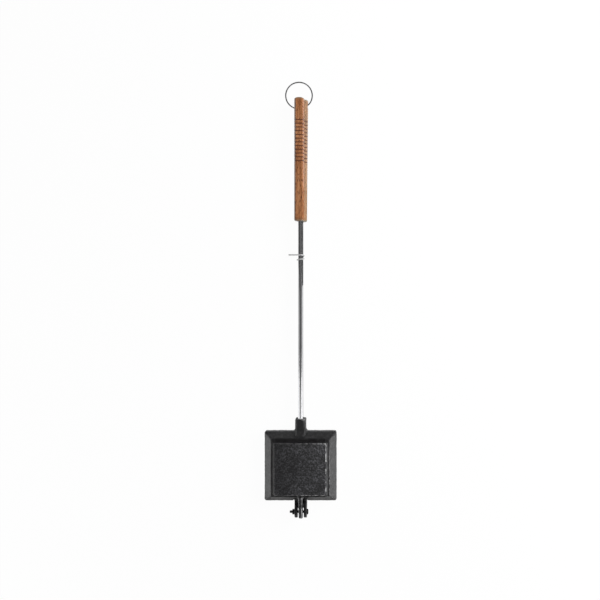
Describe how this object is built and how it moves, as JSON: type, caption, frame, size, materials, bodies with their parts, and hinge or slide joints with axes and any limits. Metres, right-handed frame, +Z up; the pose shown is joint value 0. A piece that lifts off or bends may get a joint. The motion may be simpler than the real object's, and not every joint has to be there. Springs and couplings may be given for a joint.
{
  "type": "pie iron",
  "caption": "Long-handled camp-fire cooking iron: square cast shells hinged at the far end, on steel rods with grooved wooden grips, a wire latch and a hanging ring.",
  "frame": {"origin": "on the lower shell's flat resting face, under the middle of the head", "axes": "+Z up, away from the resting face; +Y from the head along the handles to the hanging ring; +X to the right seen from above with the handles pointing away"},
  "size_m": [0.1082, 0.6571, 0.037],
  "materials": {
    "cast_iron": "rough sand-cast, seasoned black-grey",
    "plated_rod": "bright plated, polished",
    "grip_wood": "oiled, satin, with darker cut grooves",
    "spring_wire": "bright zinc-plated wire",
    "ring_wire": "dull zinc-plated wire",
    "hinge_steel": "black oxide steel"
  },
  "bodies": {
    "lower_half": {"lower_plate": "cast_iron", "lower_rod": "plated_rod", "lower_grip": "grip_wood", "hinge_bolt": "hinge_steel", "hinge_nut": "hinge_steel"},
    "upper_half": {"upper_plate": "cast_iron", "upper_rod": "plated_rod", "upper_grip": "grip_wood"},
    "latch": {"latch_wire": "spring_wire"},
    "ring": {"hanging_ring": "ring_wire"}
  },
  "joints": [
    {"name": "jaw_hinge", "type": "hinge", "parent": "lower_half", "child": "upper_half", "pos_m": [0, -0.0699, 0.0185], "axis": [1, 0, 0], "range_deg": [0, 180]},
    {"name": "latch_swing", "type": "hinge", "parent": "upper_half", "child": "latch", "pos_m": [0, 0.3145, 0.0245], "axis": [0, -1, 0], "range_deg": [-150, 90]},
    {"name": "ring_swing", "type": "hinge", "parent": "lower_half", "child": "ring", "pos_m": [0.00333, 0.53969, 0.0125], "axis": [0.965, 0.2622, 0], "range_deg": [-135, 110]}
  ]
}
